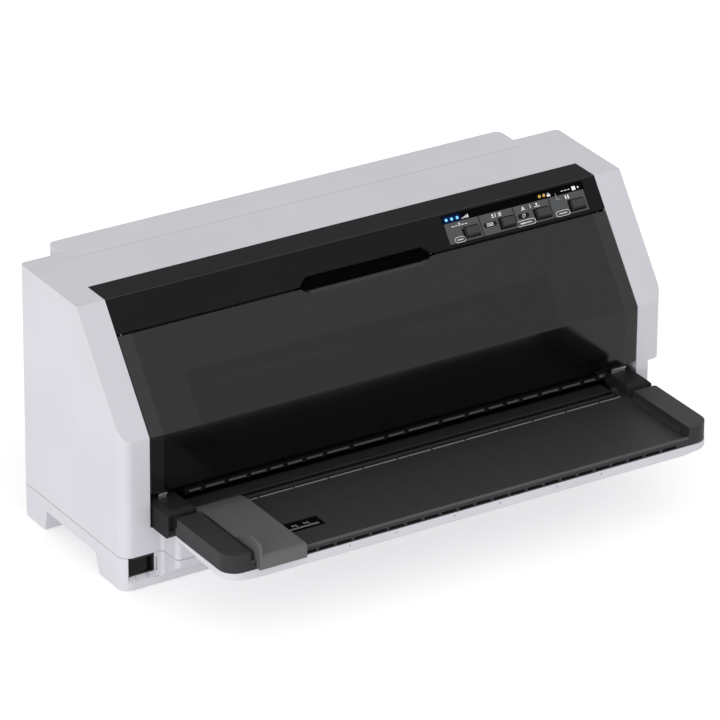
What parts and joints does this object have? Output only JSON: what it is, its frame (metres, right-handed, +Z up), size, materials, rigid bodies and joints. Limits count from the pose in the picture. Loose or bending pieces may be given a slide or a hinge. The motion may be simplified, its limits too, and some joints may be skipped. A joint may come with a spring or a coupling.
{
  "type": "dot matrix printer",
  "caption": "Flatbed dot matrix printer with a hinged smoked cover, folding paper table, sliding edge guide, print head on a rod and belt, and a geared paper feed.",
  "frame": {"origin": "centre of the bounding box on the plane of the feet", "axes": "+X across the machine to its right as seen by the user, +Y to the rear, +Z up"},
  "size_m": [0.48, 0.37, 0.21],
  "materials": {
    "case_plastic": "fine moulded texture",
    "foot_rubber": "matte",
    "band_plastic": "satin",
    "panel_plastic": "satin",
    "lamp_lens": "clear lens",
    "black_plastic": "fine moulded texture",
    "screw_steel": "zinc plated",
    "smoked_plastic": "smoked, translucent",
    "table_plastic": "fine moulded texture",
    "tray_plastic": "fine moulded texture",
    "guide_plastic": "satin",
    "button_plastic": "satin",
    "frame_steel": "zinc plated",
    "platen_rubber": "ground",
    "rod_steel": "ground and polished",
    "roller_rubber": "ground",
    "gear_plastic": "moulded",
    "motor_steel": "plated",
    "brass": "machined",
    "head_aluminium": "cast",
    "belt_rubber": "ribbed",
    "ribbon_fabric": "inked",
    "knob_plastic": "moulded",
    "board_green": "soldered board",
    "board_tan": "soldered board"
  },
  "bodies": {
    "chassis": {"lower_case": "case_plastic", "foot_pads": "foot_rubber", "upper_case": "case_plastic", "top_band": "band_plastic", "panel_plate": "panel_plastic", "status_lamps": "lamp_lens", "power_socket": "black_plastic", "power_switch_housing": "black_plastic", "case_screws": "screw_steel", "hinge_blocks": "black_plastic", "base_pan": "frame_steel", "side_frame_left": "frame_steel", "side_frame_right": "frame_steel", "entry_guide": "black_plastic", "paper_bed": "frame_steel", "platen": "platen_rubber", "carriage_rod": "rod_steel", "front_rail": "frame_steel", "front_pinch_frame": "black_plastic", "rear_pinch_frame": "black_plastic", "feed_motor": "motor_steel", "carriage_belt": "belt_rubber", "carriage_motor": "motor_steel", "idler_bracket": "frame_steel", "ribbon_cartridge": "black_plastic", "ribbon": "ribbon_fabric", "main_board": "board_green", "power_board": "board_tan", "interface_sockets": "frame_steel", "tractor_frame": "black_plastic"},
    "front_cover": {"front_cover": "smoked_plastic"},
    "paper_table": {"paper_table": "table_plastic", "table_tray": "tray_plastic"},
    "edge_guide": {"edge_guide": "guide_plastic"},
    "power_rocker": {"power_rocker": "black_plastic"},
    "button_1": {"button_1": "button_plastic"},
    "button_2": {"button_2": "button_plastic"},
    "button_3": {"button_3": "button_plastic"},
    "button_4": {"button_4": "button_plastic"},
    "front_roller": {"front_roller": "roller_rubber", "feed_knob": "black_plastic"},
    "rear_roller": {"rear_roller": "roller_rubber"},
    "front_idler_gear": {"front_idler_gear": "gear_plastic"},
    "rear_idler_gear": {"rear_idler_gear": "gear_plastic"},
    "tractor_shaft": {"tractor_shaft": "frame_steel"},
    "feed_pinion": {"feed_pinion": "brass"},
    "front_pinch_rollers": {"front_pinch_rollers": "roller_rubber"},
    "rear_pinch_rollers": {"rear_pinch_rollers": "roller_rubber"},
    "tractor_left": {"tractor_left": "guide_plastic"},
    "tractor_right": {"tractor_right": "guide_plastic"},
    "pin_wheel_left": {"pin_wheel_left": "gear_plastic"},
    "pin_wheel_right": {"pin_wheel_right": "gear_plastic"},
    "tractor_flap_left": {"tractor_flap_left": "guide_plastic"},
    "tractor_flap_right": {"tractor_flap_right": "guide_plastic"},
    "carriage": {"carriage": "black_plastic", "print_head": "head_aluminium"},
    "drive_pulley": {"drive_pulley": "brass"},
    "idler_pulley": {"idler_pulley": "brass"},
    "ribbon_knob": {"ribbon_knob": "knob_plastic"},
    "rear_guide": {"rear_guide": "black_plastic"}
  },
  "joints": [
    {"name": "cover_hinge", "type": "hinge", "parent": "chassis", "child": "front_cover", "pos_m": [0, -0.0665, 0.084], "axis": [1, 0, 0], "range_deg": [0, 85]},
    {"name": "table_fold", "type": "hinge", "parent": "chassis", "child": "paper_table", "pos_m": [0, -0.0825, 0.0615], "axis": [1, 0, 0], "range_deg": [-85, 0]},
    {"name": "edge_guide_slide", "type": "slide", "parent": "paper_table", "child": "edge_guide", "axis": [1, 0, 0], "range_m": [0, 0.315]},
    {"name": "power_rocker_tilt", "type": "hinge", "parent": "chassis", "child": "power_rocker", "pos_m": [-0.224, -0.0669, 0.02], "axis": [0, 0, 1], "range_deg": [0, 12]},
    {"name": "button_1_press", "type": "slide", "parent": "chassis", "child": "button_1", "axis": [0, 0.8022, -0.597], "range_m": [0, 0.0008], "stiffness_N_per_m": 300, "springref_m": -0.001},
    {"name": "button_2_press", "type": "slide", "parent": "chassis", "child": "button_2", "axis": [0, 0.8022, -0.597], "range_m": [0, 0.0008], "stiffness_N_per_m": 300, "springref_m": -0.001},
    {"name": "button_3_press", "type": "slide", "parent": "chassis", "child": "button_3", "axis": [0, 0.8022, -0.597], "range_m": [0, 0.0008], "stiffness_N_per_m": 300, "springref_m": -0.001},
    {"name": "button_4_press", "type": "slide", "parent": "chassis", "child": "button_4", "axis": [0, 0.8022, -0.597], "range_m": [0, 0.0008], "stiffness_N_per_m": 300, "springref_m": -0.001},
    {"name": "front_roller_spin", "type": "hinge", "parent": "chassis", "child": "front_roller", "pos_m": [0, -0.0425, 0.0535], "axis": [1, 0, 0], "continuous": true},
    {"name": "rear_roller_spin", "type": "hinge", "parent": "chassis", "child": "rear_roller", "pos_m": [0, 0.0195, 0.0535], "axis": [1, 0, 0], "continuous": true},
    {"name": "front_idler_spin", "type": "hinge", "parent": "chassis", "child": "front_idler_gear", "pos_m": [-0.2115, -0.0115, 0.0535], "axis": [1, 0, 0], "continuous": true},
    {"name": "rear_idler_spin", "type": "hinge", "parent": "chassis", "child": "rear_idler_gear", "pos_m": [-0.2115, 0.0595, 0.0535], "axis": [1, 0, 0], "continuous": true},
    {"name": "tractor_shaft_spin", "type": "hinge", "parent": "chassis", "child": "tractor_shaft", "pos_m": [0, 0.0945, 0.0535], "axis": [1, 0, 0], "continuous": true},
    {"name": "feed_pinion_spin", "type": "hinge", "parent": "chassis", "child": "feed_pinion", "pos_m": [-0.208, 0.05343, 0.07878], "axis": [1, 0, 0], "continuous": true},
    {"name": "front_pinch_spin", "type": "hinge", "parent": "chassis", "child": "front_pinch_rollers", "pos_m": [0, -0.0425, 0.0688], "axis": [1, 0, 0], "continuous": true},
    {"name": "rear_pinch_spin", "type": "hinge", "parent": "chassis", "child": "rear_pinch_rollers", "pos_m": [0, 0.0195, 0.0688], "axis": [1, 0, 0], "continuous": true},
    {"name": "tractor_left_slide", "type": "slide", "parent": "chassis", "child": "tractor_left", "axis": [1, 0, 0], "range_m": [-0.04, 0.05]},
    {"name": "tractor_right_slide", "type": "slide", "parent": "chassis", "child": "tractor_right", "axis": [1, 0, 0], "range_m": [-0.05, 0.04]},
    {"name": "pin_wheel_left_spin", "type": "hinge", "parent": "tractor_left", "child": "pin_wheel_left", "pos_m": [-0.09, 0.0945, 0.0535], "axis": [1, 0, 0], "continuous": true},
    {"name": "pin_wheel_right_spin", "type": "hinge", "parent": "tractor_right", "child": "pin_wheel_right", "pos_m": [0.09, 0.0945, 0.0535], "axis": [1, 0, 0], "continuous": true},
    {"name": "flap_left_hinge", "type": "hinge", "parent": "tractor_left", "child": "tractor_flap_left", "pos_m": [-0.1064, 0.1045, 0.0621], "axis": [0, -1, 0], "range_deg": [0, 100]},
    {"name": "flap_right_hinge", "type": "hinge", "parent": "tractor_right", "child": "tractor_flap_right", "pos_m": [0.1064, 0.1045, 0.0621], "axis": [0, 1, 0], "range_deg": [0, 100]},
    {"name": "carriage_slide", "type": "slide", "parent": "chassis", "child": "carriage", "axis": [1, 0, 0], "range_m": [0, 0.28]},
    {"name": "drive_pulley_spin", "type": "hinge", "parent": "chassis", "child": "drive_pulley", "pos_m": [0.172, 0.0475, 0.096], "axis": [0, 0, 1], "range_deg": [-2400, 2400]},
    {"name": "idler_pulley_spin", "type": "hinge", "parent": "chassis", "child": "idler_pulley", "pos_m": [-0.172, 0.0475, 0.096], "axis": [0, 0, 1], "range_deg": [-2400, 2400]},
    {"name": "ribbon_knob_spin", "type": "hinge", "parent": "chassis", "child": "ribbon_knob", "pos_m": [0.15, 0.0475, 0.125], "axis": [0, 0, 1], "continuous": true},
    {"name": "rear_guide_hinge", "type": "hinge", "parent": "chassis", "child": "rear_guide", "pos_m": [0, 0.0935, 0.108], "axis": [1, 0, 0], "range_deg": [0, 60]}
  ],
  "couplings": [
    {"joint": "rear_roller_spin", "follows": "front_roller_spin", "ratio": 1},
    {"joint": "front_idler_spin", "follows": "front_roller_spin", "ratio": -1.8182},
    {"joint": "rear_idler_spin", "follows": "front_roller_spin", "ratio": -1},
    {"joint": "tractor_shaft_spin", "follows": "front_roller_spin", "ratio": 1.3333},
    {"joint": "feed_pinion_spin", "follows": "front_roller_spin", "ratio": 3.3333},
    {"joint": "front_pinch_spin", "follows": "front_roller_spin", "ratio": -1.5},
    {"joint": "rear_pinch_spin", "follows": "front_roller_spin", "ratio": -1.5},
    {"joint": "pin_wheel_left_spin", "follows": "front_roller_spin", "ratio": 1.3333},
    {"joint": "pin_wheel_right_spin", "follows": "front_roller_spin", "ratio": 1.3333},
    {"joint": "drive_pulley_spin", "follows": "carriage_slide", "rad_per_m": 142.86},
    {"joint": "idler_pulley_spin", "follows": "carriage_slide", "rad_per_m": 142.86}
  ]
}
